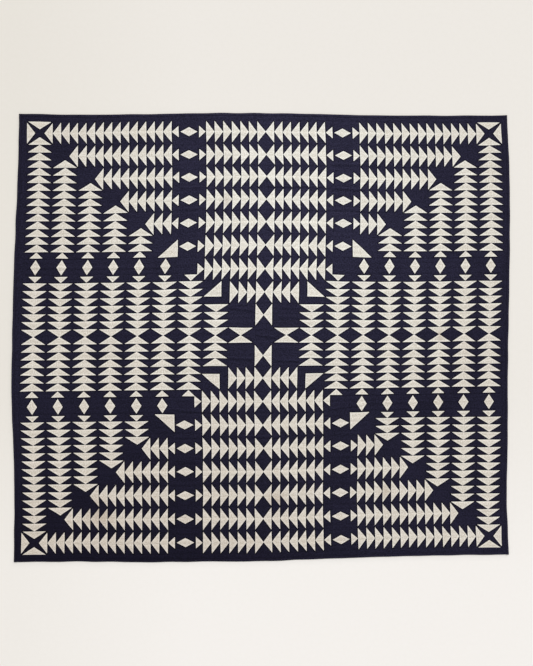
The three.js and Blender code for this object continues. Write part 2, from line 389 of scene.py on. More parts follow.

# %% Their height and painted mark
CREASE_WIDTH = 0.14  # patches
CREASE_END = 0.8
CREASE_SECTION = (-0.9, -1.6, 0.0, 1.1)  # its ridge, painted highlight, painted shade in the fold and trough, in widths below it
TROUGH_DEPTH = 0.7  # against the height of the ridge
PAINTED_CREASE_HIGHLIGHT = 0.5  # the painted highlight, against the painted shade in the fold


def creased(across, down):
    """How far the creases lift the cloth, and how much shade they paint in the fold, which is below 0 where a
    highlight is painted.
    """
    height, dark = np.zeros((2, len(across)))
    for start, end, level, fall, rise in CREASES:
        share = (across - start) / (end - start)
        below = (down - level - fall * share) / CREASE_WIDTH
        ridge, painted_highlight, fold, trough = (np.exp(-((below - place) ** 2)) for place in CREASE_SECTION)
        strength = rise * smooth(np.minimum(across - start, end - across) / CREASE_END)
        height += MM * strength * (ridge - TROUGH_DEPTH * trough)
        dark += strength * (fold - PAINTED_CREASE_HIGHLIGHT * painted_highlight)
    return height, dark


# %% Height of the quilted cloth
SEAM_DEPTH, SEAM_REACH = 0.35 * MM, 1.5 * MM
FOLDED_EDGE_RISE = 0.3 * MM  # the ridge over a seam's folded edges rises, stays and falls away
FOLDED_EDGE_RISEN, FOLDED_EDGE_STAYS, FOLDED_EDGE_WIDTH = 2 * MM, 4 * MM, 7 * MM
HELD_BY_BORDER = 14 * MM  # how far in the border's seam holds the puffs down
UNDERSIDE_RISE = 0.5 * MM


def quilted_height(patches, seam, is_navy):
    across, down = patches.T
    from_border = (np.minimum(patches, FIELD - patches) * PATCH).min(1)
    free = smooth(from_border / HELD_BY_BORDER)
    puffed = PUFF_RISE * fullness(across, down) * crest(down) * free
    drawn_down = SEAM_DEPTH * np.exp(-((seam / SEAM_REACH) ** 2))
    falling = (seam - FOLDED_EDGE_STAYS) / (FOLDED_EDGE_WIDTH - FOLDED_EDGE_STAYS)
    folded_edge = smooth(seam / FOLDED_EDGE_RISEN) * (1 - smooth(falling))
    ridge = FOLDED_EDGE_RISE * is_navy * folded_edge
    return QUILTED_THICKNESS + puffed - drawn_down + ridge + creased(across, down)[0] * free


# %% [markdown]
# Cotton
#
# All the cloth is plain-weave cotton. In plain weave each thread goes over one and under the next,
# so the surface is a tiny chequer of bumps: the product of two sine waves. Threads also vary in
# thickness, which gives slubs, and the dye is uneven, which gives mottling. The patterns read the
# cloth's own map, in metres, so they follow each piece of cloth and not the room.

# %% Helpers that add nodes
def give(tree, socket, value):
    """Feeds an input from another node's socket, or sets its value."""
    if isinstance(value, bpy.types.NodeSocket):
        tree.links.new(value, socket)
    else:
        socket.default_value = value


def add_node(tree, kind, inputs=(), **settings):
    node = tree.nodes.new(kind)
    for setting, value in settings.items():
        setattr(node, setting, value)
    for key, value in dict(inputs).items():
        give(tree, node.inputs[key], value)
    return node


def enabled(sockets):
    """The sockets in use, on a node that keeps a set for each kind of data."""
    return [socket for socket in sockets if socket.enabled]


def rgba(colour):
    return (*colour, 1.0)


# %% A finish, added node by node
class Finish:
    """A material whose nodes are added one by one."""

    def __init__(self, name):
        self.material = bpy.data.materials.new(name)
        self.material.use_nodes = True
        self.tree = self.material.node_tree
        self.shader = self.tree.nodes["Principled BSDF"]

    def add(self, kind, inputs=(), **settings):
        return add_node(self.tree, kind, inputs, **settings)

    def wear(self, looks):
        """Gives the shader its inputs and returns the finished material."""
        for name, value in looks.items():
            give(self.tree, self.shader.inputs[name], value)
        return self.material

    def math(self, operation, *values):
        return self.add("ShaderNodeMath", dict(enumerate(values)), operation=operation).outputs[0]

    def noise(self, place, stretch, detail=2.0):
        """Noise with this many spots to a metre, along each axis."""
        scaled = self.add("ShaderNodeMapping", {"Vector": place, "Scale": stretch})
        inputs = {"Vector": scaled.outputs[0], "Scale": 1.0, "Detail": detail}
        return self.add("ShaderNodeTexNoise", inputs).outputs["Fac"]

    def shaded(self, shade, *steps):
        """Adds (value, amount) pairs to a shade, each value taken as 0.5 on average."""
        for value, amount in steps:
            off_average = self.math("SUBTRACT", value, 0.5)
            shade = self.math("MULTIPLY_ADD", off_average, amount, shade)
        return shade

    def ramp(self, value, low, high, to_low=0.0, to_high=1.0):
        inputs = {"Value": value, "From Min": low, "From Max": high, "To Min": to_low, "To Max": to_high}
        return self.add("ShaderNodeMapRange", inputs).outputs["Result"]

    def mixed(self, factor, first, second, blend="MIX"):
        node = self.add("ShaderNodeMix", data_type="RGBA", blend_type=blend)
        for socket, value in zip(enabled(node.inputs), (factor, first, second)):
            give(self.tree, socket, value)
        return enabled(node.outputs)[0]


# %% [markdown]
# The finish of one cotton is mixed from a deep and a light shade. What moves it between the two is
# partly what happens to real cloth: uneven dye, slubs and the shade of the single piece. The rest is
# painted light: painted shadow along the seams and in the folds of creases, painted highlights
# beside them, and the crests of the puffs painted lighter than the rows of stitches, with some wear
# on the crests too. A slow change over the whole coverlet is a painted falloff of light: the upper
# middle is lightest, and the lower left is darker and warmer.

# %% What a cotton reads, and its patterns
CLOTH_MAP = "cloth"
TONE, EDGE_DISTANCE, PAINTED_CREASE = "piece_tone", "from_edge", "painted_crease_mark"
THREAD_PITCH = 0.6 * MM
SLUBS, CROSS_SLUBS = (45, 900, 1), (900, 45, 1)  # spots to a metre, across and down the cloth
SPECKS, CLOUDS, WRINKLES = (210, 210, 1), (9, 9, 1), (38, 105, 1)


def cotton_patterns(finish):
    """The shader sockets that say what the cloth is like at each point, by name."""
    cloth = finish.add("ShaderNodeUVMap", uv_map=CLOTH_MAP).outputs["UV"]
    spot = finish.add("ShaderNodeTexCoord").outputs["Object"]
    thread = finish.add("ShaderNodeSeparateXYZ", {"Vector": cloth}).outputs
    warp, weft = (
        finish.math("SINE", finish.math("MULTIPLY", thread[axis], math.pi / THREAD_PITCH))
        for axis in ("X", "Y")
    )
    kept = {
        name: finish.add("ShaderNodeAttribute", attribute_name=name).outputs["Fac"]
        for name in (TONE, EDGE_DISTANCE, PAINTED_CREASE)
    }
    return kept | {
        "spot": spot,
        "height": finish.add("ShaderNodeSeparateXYZ", {"Vector": spot}).outputs["Z"],
        "weave": finish.math("MULTIPLY", warp, weft),
        "slubs": finish.noise(cloth, SLUBS),
        "cross slubs": finish.noise(cloth, CROSS_SLUBS),
        "specks": finish.noise(cloth, SPECKS),
        "clouds": finish.noise(spot, CLOUDS, 3.0),
        "wrinkles": finish.noise(cloth, WRINKLES, 3.0),
    }


# %% How light a cotton is
SLUB_SHARE = 0.35  # how strong the slubs are, against the specks of the mottle
CLOUD_SHADE, TONE_SHADE, PAINTED_CREASE_SHADE = 0.25, 0.1, 0.16
PAINTED_EDGE_SHADE_WIDTH = 6 * MM
CREST_TOP = QUILTED_THICKNESS + 1.6 * PUFF_RISE


def cotton_shade(finish, seen, mottle, crest_wear_and_painted_light, painted_edge_shade):
    """How light each point is, about 0 for the deep shade of a cotton and 1 for the light one."""
    shade = finish.shaded(
        0.5,
        (seen["specks"], mottle),
        (seen["slubs"], SLUB_SHARE * mottle),
        (seen["cross slubs"], SLUB_SHARE * mottle),
        (seen["clouds"], CLOUD_SHADE),
        (seen[TONE], TONE_SHADE),
        # crests lighter and the rows of stitches darker: partly wear, partly painted light
        (finish.ramp(seen["height"], QUILTED_THICKNESS, CREST_TOP), crest_wear_and_painted_light),
    )
    # painted shadow near colour edges and in crease folds, and painted highlight where they fall below 0
    painted_edge_share = finish.ramp(seen[EDGE_DISTANCE], 0.0, PAINTED_EDGE_SHADE_WIDTH, 1.0, 0.0)
    shade = finish.math("MULTIPLY_ADD", painted_edge_share, -painted_edge_shade, shade)
    shade = finish.math("MULTIPLY_ADD", seen[PAINTED_CREASE], -PAINTED_CREASE_SHADE, shade)
    return finish.math("MAXIMUM", shade, 0.0)


# %% The cotton finish
WEAVE_HEIGHT, SLUB_HEIGHT, WRINKLE_HEIGHT = 0.05 * MM, 0.08 * MM, 0.9 * MM
BUMP_STRENGTH = 0.6
COTTON_ROUGHNESS = (0.82, 0.96)


def cotton(name, deep, light, painted_falloff_colour, mottle, crest_wear_and_painted_light, painted_edge_shade, stained=0.0):
    finish = Finish(name)
    seen = cotton_patterns(finish)
    shade = cotton_shade(finish, seen, mottle, crest_wear_and_painted_light, painted_edge_shade)
    colour = finish.mixed(shade, rgba(deep), rgba(light))
    # painted falloff of light: darker and warmer toward the lower left
    colour = finish.mixed(painted_falloff_of_light(finish, seen["spot"]), colour, rgba(painted_falloff_colour), "MULTIPLY")
    if stained:
        colour = finish.mixed(stains(finish, seen["spot"], stained), colour, rgba(STAIN))
    height = finish.math("MULTIPLY", seen["weave"], WEAVE_HEIGHT)
    height = finish.math("MULTIPLY_ADD", seen["slubs"], SLUB_HEIGHT, height)
    height = finish.math("MULTIPLY_ADD", seen["wrinkles"], WRINKLE_HEIGHT, height)
    bumps = {"Height": height, "Distance": 1.0, "Strength": BUMP_STRENGTH}
    looks = {
        "Base Color": colour,
        "Normal": finish.add("ShaderNodeBump", bumps).outputs["Normal"],
        "Roughness": finish.ramp(seen["specks"], 0.2, 0.8, *COTTON_ROUGHNESS),
        "Specular IOR Level": 0.12,
    }
    return finish.wear(looks)


# %% [markdown]
# The painted falloff of light and the stains are painted by place on the coverlet. The falloff is a
# slow change between the lightest place and the darkest one, which lies past the lower edge: painted
# shade that darkens and warms the colours toward the lower left. Each stain is a soft round spot
# with an uneven rim, faint and brown. Places are from the middle of the cloth.

# %% Painted falloff of light, and stains
STAIN = (0.30, 0.19, 0.11)
STAINS = [  # metres from the middle of the cloth, and the size of the spot
    {"right": 0.07, "up": -0.67, "radius": 0.045},
    {"right": 0.51, "up": -0.63, "radius": 0.035},
    {"right": 0.74, "up": 0.01, "radius": 0.03},
    {"right": -0.14, "up": 0.565, "radius": 0.03},
    {"right": -0.66, "up": -0.72, "radius": 0.06},
]
STAIN_RIM = 0.03  # how far the rim of a stain wanders, in metres
STAIN_CORE, STAIN_REACH = 0.4, 1.6  # shares of its radius at which it starts to fade and ends
RIM_SPOTS = (40, 40, 1)  # to a metre
# Where it is, in metres from the middle of the cloth, how far its effect goes, and its share in the painted
# falloff.
LIGHTEST_PLACE = {"at": (0.15, 0.65, 0), "near": 0.15, "far": 1.1, "share": 0.6}
DARKEST_PLACE = {"at": (-0.8, -1.9, 0), "near": 0.05, "far": 1.7, "share": 0.9}


def distance_to(finish, spot, place):
    return finish.add("ShaderNodeVectorMath", {0: spot, 1: place}, operation="DISTANCE").outputs["Value"]


def far_from(finish, spot, place):
    """0 near a place and 1 far from it."""
    return finish.ramp(distance_to(finish, spot, place["at"]), place["near"], place["far"])


def painted_falloff_of_light(finish, spot):
    """0 at the lightest place and 1 where the painted falloff of light is strongest."""
    from_lightest = finish.math("MULTIPLY", far_from(finish, spot, LIGHTEST_PLACE), LIGHTEST_PLACE["share"])
    near_darkest = finish.math("SUBTRACT", 1.0, far_from(finish, spot, DARKEST_PLACE))
    return finish.math("MULTIPLY_ADD", near_darkest, DARKEST_PLACE["share"], from_lightest)


def stains(finish, spot, strength):
    uneven = finish.noise(spot, RIM_SPOTS, 3.0)
    most = 0.0
    for stain in STAINS:
        centre = (stain["right"], stain["up"], QUILTED_THICKNESS)
        away = finish.math("MULTIPLY_ADD", uneven, STAIN_RIM, distance_to(finish, spot, centre))
        core, reach = STAIN_CORE * stain["radius"], STAIN_REACH * stain["radius"]
        inside = finish.ramp(away, core, reach, strength, 0.0)
        most = finish.math("MAXIMUM", inside, most)
    return most


# %% [markdown]
# Three cottons are mixed. The navy and the off-white are those of the patches. The binding's navy
# comes from another bolt, with a little painted shadow along its sewn edge, and its top is lighter
# than its sides, partly wear where the fold has rubbed and partly painted light. Off-white has a
# painted pale rim along its seams, so its painted edge shade is below 0.

# %% Mix the cottons
PAINTED_FALLOFF_NAVY = (0.22, 0.19, 0.27)  # what navy is multiplied by where the painted falloff of light is strongest
navy = cotton(
    "navy cotton",
    deep=(0.0058, 0.0051, 0.0142),
    light=(0.0357, 0.0339, 0.0717),
    painted_falloff_colour=PAINTED_FALLOFF_NAVY,
    mottle=2.4,
    crest_wear_and_painted_light=0.05,
    painted_edge_shade=0.75,
)
cream = cotton(
    "off-white cotton",
    deep=(0.60, 0.55, 0.456),
    light=(0.92, 0.914, 0.86),
    painted_falloff_colour=(0.757, 0.698, 0.662),
    mottle=2.3,
    crest_wear_and_painted_light=0.0,
    painted_edge_shade=-0.4,
    stained=0.35,
)
binding_navy = cotton(
    "binding cotton",
    deep=(0.0050, 0.0042, 0.0125),
    light=(0.0382, 0.0356, 0.0717),
    painted_falloff_colour=PAINTED_FALLOFF_NAVY,
    mottle=1.9,
    crest_wear_and_painted_light=0.4,
    painted_edge_shade=0.2,
)
print("cottons:", navy.name, cream.name, binding_navy.name)

# %% [markdown]
# One piece of cloth
#
# Every piece is made the same way: corners, faces, the finish each face wears, and what the finish
# reads from the mesh. That is the shade of each piece, how far each corner is from an edge where
# the colour changes, which sets the painted shadow and pale rim there, how much shade and highlight
# a crease paints there, and the cloth's own map. Edges of more than 50 degrees stay sharp, so that
# the soft top and the cut side don't blur into each other.

# %% Make one piece of cloth
SHARP = math.radians(50)


def placed(name, data):
    """A new object in the scene, for a mesh, a light or a camera."""
    thing = bpy.data.objects.new(name, data)
    bpy.context.collection.objects.link(thing)
    return thing


def cloth_piece(name, corners, faces, cloth_map, finishes, worn=0, tone=0.5, edge=1.0, painted_crease_mark=0.0):
    """A mesh of cloth. worn gives each face the number of its finish, and edge is in metres."""
    mesh = bpy.data.meshes.new(name)
    mesh.from_pydata(corners.tolist(), [], [list(map(int, face)) for face in faces])
    mesh.shade_smooth()
    mesh.set_sharp_from_angle(angle=SHARP)
    for finish in finishes:
        mesh.materials.append(finish)
    mesh.polygons.foreach_set("material_index", np.broadcast_to(worn, len(faces)).astype(np.int32))
    for attribute, domain, values, size in (
        (TONE, "FACE", tone, len(faces)),
        (EDGE_DISTANCE, "POINT", edge, len(corners)),
        (PAINTED_CREASE, "POINT", painted_crease_mark, len(corners)),
    ):
        layer = mesh.attributes.new(attribute, "FLOAT", domain)
        layer.data.foreach_set("value", np.broadcast_to(values, size).astype(np.float32))
    layer = mesh.uv_layers.new(name=CLOTH_MAP)
    layer.uv.foreach_set("vector", np.asarray(cloth_map, np.float32).ravel())
    mesh.validate()
    return placed(name, mesh)


# %% [markdown]
# Cutting the patches
#
# The colours change exactly along the seams, so the mesh needs edges there. Constrained Delaunay
# triangulation does that: it takes loose points, here a fine even grid, and edges that must stay,
# here the outlines of the patches, and joins them into good triangles. It also says which outlines
# hold each triangle, and so which cloth it is. A shape that crosses the panel's edge is clipped.

# %% Clip and divide the outlines
GRID = 9  # mesh points to a patch
TINY = 1e-6  # patches; points this close are one point


def clipped(shape, low, high):
    """The part of a convex shape that lies in a rectangle."""
    for axis in (0, 1):
        for limit, side in ((low[axis], 1), (high[axis], -1)):
            kept = []
            for a, b in zip(shape, shape[1:] + shape[:1]):
                a_in, b_in = (side * (p[axis] - limit) >= 0 for p in (a, b))
                if a_in:
                    kept.append(a)
                if a_in != b_in:
                    share = (limit - a[axis]) / (b[axis] - a[axis])
                    other = a[1 - axis] + share * (b[1 - axis] - a[1 - axis])
                    kept.append((limit, other) if axis == 0 else (other, limit))
            shape = kept
    return shape


def signed_area(shape):
    return sum(a[0] * b[1] - b[0] * a[1] for a, b in zip(shape, shape[1:] + shape[:1])) / 2


def divided(a, b):
    """Points from a to b: on the grid's lines where the side is upright or level, evenly elsewhere."""
    a, b = np.array(a, float), np.array(b, float)
    run = b - a
    if np.abs(run).min() < TINY:
        axis = int(np.abs(run).argmax())
        low, high = sorted((a[axis], b[axis]))
        lines = np.arange(math.floor(low * GRID) + 1, math.ceil(high * GRID)) / GRID
        shares = np.sort((lines - a[axis]) / run[axis])
    else:
        steps = math.ceil(np.linalg.norm(run) * GRID)
        shares = np.arange(1, steps) / steps
    return [tuple(a), *(tuple(a + run * share) for share in shares if TINY < share < 1 - TINY)]


# %% Triangulate one panel of patches
KEEP_CLEAR = 0.05  # patches; a grid point nearer to a seam than this is left out
KEEP_ALL = 0  # the triangulation's own number for keeping every triangle


def grid_within(low, high, step):
    """Even grid points inside a rectangle and off its edges."""
    first = [math.ceil(a / step + TINY) for a in low]
    last = [math.floor(b / step - TINY) for b in high]
    lines = [np.arange(a, b + 1) * step for a, b in zip(first, last)]
    return np.array(np.meshgrid(*lines)).reshape(2, -1).T


def triangulated(points, outlines=()):
    """Corners, triangles and, for each triangle, the outlines that hold it."""
    points = [Vector(p) for p in points]
    corners, _, faces, _, _, held_by = delaunay_2d_cdt(points, [], outlines, KEEP_ALL, TINY, True)
    return np.array([tuple(p) for p in corners]), np.array(faces), held_by


def cut_patches(low, high):
    """The panel's mesh in patches: corners, triangles and the shape that each triangle is cut from."""
    outlines, sources, numbers = [], [], {}

    def number(p):
        return numbers.setdefault((round(p[0], 5), round(p[1], 5)), len(numbers))

    panel = [low, (high[0], low[1]), high, (low[0], high[1])]
    for source, shape in enumerate([*shapes, panel]):
        shape = clipped(shape, low, high)
        area = signed_area(shape) if len(shape) > 2 else 0
        if abs(area) > TINY:
            shape = shape if area > 0 else shape[::-1]
            loop = [number(p) for a, b in zip(shape, shape[1:] + shape[:1]) for p in divided(a, b)]
            outlines.append(list(dict.fromkeys(loop)))
            sources.append(source)
    loose = grid_within(low, high, 1 / GRID)
    loose = loose[distance(seams, loose) > KEEP_CLEAR * PATCH.mean()]
    corners, faces, held_by = triangulated([*numbers, *map(tuple, loose)], outlines)
    cut_from = [min((sources[i] for i in held), default=len(shapes)) for held in held_by]
    return corners, faces, np.array(cut_from)


# %% [markdown]
# A closed panel
#
# The top is only half of a quilt. The underside is the plain backing, drawn up a little along the
# rows of stitches. Both are triangulated over the same rim, and a wall joins them, so that each
# panel is a closed body. Panels meet along their rims with no gap, as cloth that is sewn does.

# %% The rim and the underside of a panel
ON_RIM = 1e-5  # patches; the triangulation rounds a corner's place by less than this
UNDER_GRID = {"across": 1.0, "down": 1 / 3}  # patches
ON_LINE = 0.01  # share of a step across; a grid point this close to an upright line is on it


def rim_of(corners, low, high):
    """The corners on the panel's edge, in order round it."""
    (u, v), (left, top), (right, bottom) = corners.T, low, high
    round_trip = np.full(len(corners), -1.0)
    width, length = right - left, bottom - top
    for off_side, travelled in (
        (u - left, 2 * width + length + bottom - v),
        (v - bottom, width + length + right - u),
        (u - right, width + v - top),
        (v - top, u - left),
    ):
        on_side = abs(off_side) < ON_RIM
        round_trip[on_side] = travelled[on_side]
    on_rim = np.flatnonzero(round_trip >= 0)
    return on_rim[np.argsort(round_trip[on_rim])]


def underside(rim, low, high):
    inner = grid_within(low, high, UNDER_GRID["down"])
    off_line = abs((inner[:, 0] / UNDER_GRID["across"] + 0.5) % 1 - 0.5)
    inner = inner[off_line < ON_LINE]
    corners, faces, _ = triangulated([*map(tuple, rim), *map(tuple, inner)])
    return corners, faces


# %% Close a panel
def turned_map(flat, grain):
    """Where the corners of each triangle lie on the cloth's map, turned with the grain of its piece."""
    u, v = flat.transpose(2, 0, 1)
    return np.stack([u * np.cos(grain) - v * np.sin(grain), u * np.sin(grain) + v * np.cos(grain)], 2)


def quilted_panel(name, low, high):
    corners, faces, cut_from = cut_patches(low, high)
    seam = distance(seams, corners)
    white_face = cut_from < len(off_white)
    navy_corner = np.ones(len(corners))
    navy_corner[faces[white_face]] = 0
    rim = rim_of(corners, low, high)
    under, under_faces = underside(corners[rim], low, high)
    under_rim = rim_of(under, low, high) + len(corners)
    following, under_following = np.roll(rim, -1), np.roll(under_rim, -1)
    walls = [*zip(rim, following, under_rim), *zip(following, under_following, under_rim)]

    patches = np.vstack([corners, under])
    top_z = quilted_height(corners, seam, navy_corner)
    under_z = UNDERSIDE_RISE * (1 - crest(under[:, 1]))
    flat = patches * PATCH + EDGE
    places = np.column_stack([laid(flat), [*top_z, *under_z]])
    all_faces = np.vstack([faces[:, ::-1], under_faces + len(corners), walls])

    source = np.full(len(all_faces), len(shapes))
    source[: len(faces)] = cut_from
    tone = np.append(shape_tone, 0.5)[source]
    grain = np.append(shape_grain, 0)[source][:, None]
    cloth_map = turned_map(flat[all_faces], grain)
    worn = np.zeros(len(all_faces))
    worn[: len(faces)] = white_face
    # distance to a colour edge, where shadow and a pale rim are painted, and the painted crease shade
    edge = np.append(distance(colour_edges, corners), np.full(len(under), 1.0))
    painted_crease_mark = np.append(creased(*corners.T)[1], np.zeros(len(under)))
    return cloth_piece(name, places, all_faces, cloth_map, [navy, cream], worn, tone, edge, painted_crease_mark)


# %% [markdown]
# The panels
#
# The quarter's panels are named once, and the others are its mirror images, as in the frame. The
# arms and the middle are the same in both directions.

# %% Make every panel
def mirrored(span):
    return (FIELD - span[1], FIELD - span[0])


QUARTER = {  # the patches that each panel spans: across, then down
    "corner_panel": ((0, SASH), (0, SASH)),
    "upright_sash": ((SASH, ARM), (0, SASH)),
    "level_sash": ((0, SASH), (SASH, ARM)),
    "sash_square": ((SASH, ARM), (SASH, ARM)),
}
NEAR, CENTRE = (0, ARM), (ARM, FIELD - ARM)
panel_spans = {
    f"{kind}_{end}_{side}": (
        across if side == "left" else mirrored(across),
        down if end == "top" else mirrored(down),
    )
    for kind, (across, down) in QUARTER.items()
    for side in ("left", "right")
    for end in ("top", "bottom")
}
panel_spans |= {
    "arm_panel_top": (CENTRE, NEAR),
    "arm_panel_bottom": (CENTRE, mirrored(NEAR)),
    "arm_panel_left": (NEAR, CENTRE),
    "arm_panel_right": (mirrored(NEAR), CENTRE),
    "centre_panel": (CENTRE, CENTRE),
}
panels = {}
for node, (across, down) in panel_spans.items():
    piece = quilted_panel(f"quilted_{node}", (across[0], down[0]), (across[1], down[1]))
    piece["cut_size"] = [float(x) for x in (across[1] - across[0], down[1] - down[0]) * PATCH]
    panels[node] = piece
print(len(panels), "panels of", sum(len(p.data.polygons) for p in panels.values()), "triangles")

# %% [markdown]
# Border and binding
#
# Both are long strips, so each is a section carried along one side of the cloth. The border's
# section is a low crown that runs on under the binding. The binding is a strip folded over the raw
# edge, front to back: its section is a thin C, round at the outer edge. A small unevenness along
# the length keeps it from looking extruded: the sewn edge wavers and the strip puckers.

# %% The binding's section, as distances inwards from the edge and heights
BINDING_THICKNESS = 4.7 * MM
BINDING_CLOTH = 0.9 * MM
FOLD_DEPTH = 3.5 * MM
FOLD_STEPS, FRONT_STEPS = 8, 4
SEWN_EDGE_PROUD = 0.7 * MM  # how far its sewn front edge stands on the quilted cloth


def folded_section():
    """The binding's outer face from the sewn front edge round to the back, then its inner face."""
    turn = np.linspace(0, np.pi, FOLD_STEPS + 1)
    sections = []
    for inset in (0, BINDING_CLOTH):
        mid, half = BINDING_THICKNESS / 2, BINDING_THICKNESS / 2 - inset
        fold = np.column_stack([FOLD_DEPTH - (FOLD_DEPTH - inset) * np.sin(turn), mid + half * np.cos(turn)])
        front = np.linspace(1, 0, FRONT_STEPS + 1)[:-1]
        sinks = BINDING_THICKNESS - QUILTED_THICKNESS - SEWN_EDGE_PROUD
        top = BINDING_THICKNESS - inset - sinks * front**2
        front = np.column_stack([FOLD_DEPTH + (BINDING_WIDTH - FOLD_DEPTH) * front, top])
        back = np.array([[0.5 * (FOLD_DEPTH + BINDING_WIDTH), inset], [BINDING_WIDTH, inset]])
        sections.append(np.vstack([front, fold, back]))
    return np.vstack([sections[0], sections[1][::-1]])


# %% The border's section
BORDER_CROWN = 0.6 * MM
BORDER_STEPS = 6
BORDER_SEAM_REACH = 0.12  # of its width
# Inwards and up, in millimetres.
TUCKED_UNDER_BINDING = [[7, 2.8], [3.2, 2.6], [3.0, 1.4], [7, 1.0], [10.6, 1.0], [11.2, 0]]


def crowned_section():
    """The border's top from the field's seam outwards and under the binding, then its flat underside."""
    share = np.linspace(1, 0, BORDER_STEPS + 1)
    from_seams = np.array([1 - share, share]) / BORDER_SEAM_REACH
    seam = SEAM_DEPTH * np.exp(-(from_seams**2)).sum(0)
    crown = QUILTED_THICKNESS + BORDER_CROWN * np.sin(np.pi * share) - seam
    top = np.column_stack([BINDING_WIDTH + BORDER_WIDTH * share, crown])
    return np.vstack([top, np.array(TUCKED_UNDER_BINDING) * MM, [[EDGE, 0]]])


# %% [markdown]
# One function carries a section along a side. On a side strip, "inwards" is across the cloth and
# "along" is down it, and on an upper or lower strip they swap. The side strips run the whole
# length, and the upper and lower ones fit between them.

# %% The unevenness of a strip
PUCKERS = [  # length of the wave along the strip, and its height
    {"length": 27 * MM, "rise": 0.16 * MM},
    {"length": 43 * MM, "rise": 0.16 * MM},
    {"length": 110 * MM, "rise": 0.2 * MM},
]
WAVER = {"length": 60 * MM, "size": 0.35 * MM}  # of the sewn edge


def puckered(stations, start):
    return sum(
        pucker["rise"] * np.sin(2 * np.pi * stations / pucker["length"] + start * (i + 1))
        for i, pucker in enumerate(PUCKERS)
    )


def wavering(stations, start, inwards, height, sewn_edge):
    """How far the front of a strip strays inwards, most at the edge that is sewn."""
    waver = WAVER["size"] * np.sin(2 * np.pi * stations / WAVER["length"] + start)[:, None]
    return waver * np.clip(1 - abs(inwards - sewn_edge) / BINDING_WIDTH, 0, 1) * (height > MM)


def faces_between(count, around):
    """Quads along a strip of so many stations with so many corners around each, and its two ends."""
    i, j = np.meshgrid(np.arange(count - 1), np.arange(around), indexing="ij")
    after = (j + 1) % around
    quads = [i * around + j, i * around + after, (i + 1) * around + after, (i + 1) * around + j]
    caps = [list(range(around))[::-1], [(count - 1) * around + k for k in range(around)]]
    return np.stack(quads, 2).reshape(-1, 4), caps


# %% Carry a section along a side
STRIP_STEP = 6 * MM


def strip(name, side, section, ends, finish, sewn_edge, painted_shadow_line):
    """A closed strip. ends are its places along the side, and sewn_edge is where its stitches run."""
    stations = np.linspace(*ends, round((ends[1] - ends[0]) / STRIP_STEP) + 1)
    inwards, height = section.T
    start = rng.uniform(0, 2 * np.pi)
    far_side = side in ("right", "bottom")
    upright = side in ("left", "right")
    rise = puckered(stations, start)[:, None] * np.clip(height / QUILTED_THICKNESS, 0, 1)
    from_side = inwards + wavering(stations, start, inwards, height, sewn_edge)
    if far_side:
        from_side = FLAT[0 if upright else 1] - from_side
    lengthwise = np.broadcast_to(stations[:, None], from_side.shape)
    flat = np.stack([from_side, lengthwise] if upright else [lengthwise, from_side], 2).reshape(-1, 2)
    corners = np.column_stack([laid(flat), (height + rise).ravel()])

    count, around = from_side.shape
    quads, caps = faces_between(count, around)
    if far_side == upright:
        quads, caps = quads[:, ::-1], [cap[::-1] for cap in caps]
    faces = [*quads.tolist(), *caps]
    girth = np.append(0, np.cumsum(np.linalg.norm(np.diff(section, axis=0), axis=1)))
    map_of_corner = np.stack([np.broadcast_to(girth, (count, around)), lengthwise], 2).reshape(-1, 2)
    cloth_map = np.vstack([map_of_corner[face] for face in faces])
    edge = np.broadcast_to(abs(inwards - painted_shadow_line), (count, around)).ravel()
    return cloth_piece(name, corners, faces, cloth_map, [finish], edge=edge)


# %% Make the border and the binding
def strips(kind, section, finish, outer, width, sewn_edge, painted_shadow_line):
    """Four strips round the cloth. outer is how far in from the cloth's edge they start."""
    made = {}
    for side in ("left", "right", "top", "bottom"):
        upright = side in ("left", "right")
        first, size = (outer, FLAT[1]) if upright else (outer + width, FLAT[0])
        ends = (first, size - first)
        piece = strip(f"{kind}_strip_{side}", side, section, ends, finish, sewn_edge, painted_shadow_line)
        made[f"{kind}_{side}"] = piece
        piece["length"] = float(ends[1] - ends[0])
    return made


on_border = {"outer": BINDING_WIDTH, "width": BORDER_WIDTH, "sewn_edge": EDGE}
on_edge = {"outer": 0, "width": BINDING_WIDTH, "sewn_edge": BINDING_WIDTH}
far_off = FLAT[0]  # so far that no painted shade reaches the border
# the binding gets a little painted shadow along its sewn edge, the border none
borders = strips("border", crowned_section(), navy, **on_border, painted_shadow_line=far_off)
bindings = strips("binding", folded_section(), binding_navy, **on_edge, painted_shadow_line=BINDING_WIDTH)
print(len(borders) + len(bindings), "strips round the field")

# %% [markdown]
# Stitches
#
# The running stitches are what makes it a quilt. Each shows as a short dash of thread that dips
# into the cloth at both ends. There are tens of thousands, all alike and all along lines, which is
# what Geometry Nodes are for: the tree turns sewn lines into points at even steps, puts a dash on
# each, turns it along the line, and varies its length and place a little. A dash has eight faces.

# %% Inputs of the stitching tree, and its random numbers
STITCH_SIZES = ("Stitch step", "Stitch length", "Thread width", "Waver")
LENGTH_SHARES = (0.75, 1.2)  # the shortest and the longest stitch, against the stitch length
DASH = {"Segments": 4, "Rings": 2, "Radius": 0.5}  # eight faces


def stitching_inputs(tree):
    tree.interface.new_socket("Sewn lines", in_out="INPUT", socket_type="NodeSocketGeometry")
    for name in STITCH_SIZES:
        tree.interface.new_socket(name, in_out="INPUT", socket_type="NodeSocketFloat")
    tree.interface.new_socket("Seed", in_out="INPUT", socket_type="NodeSocketInt")
    tree.interface.new_socket("Stitches", in_out="OUTPUT", socket_type="NodeSocketGeometry")
    return add_node(tree, "NodeGroupInput").outputs


def random_share(tree, seed):
    """A random number between the two length shares, for each stitch."""
    node = add_node(tree, "FunctionNodeRandomValue", {"Seed": seed}, data_type="FLOAT")
    for socket, value in zip(enabled(node.inputs), LENGTH_SHARES):
        socket.default_value = value
    return enabled(node.outputs)[0]


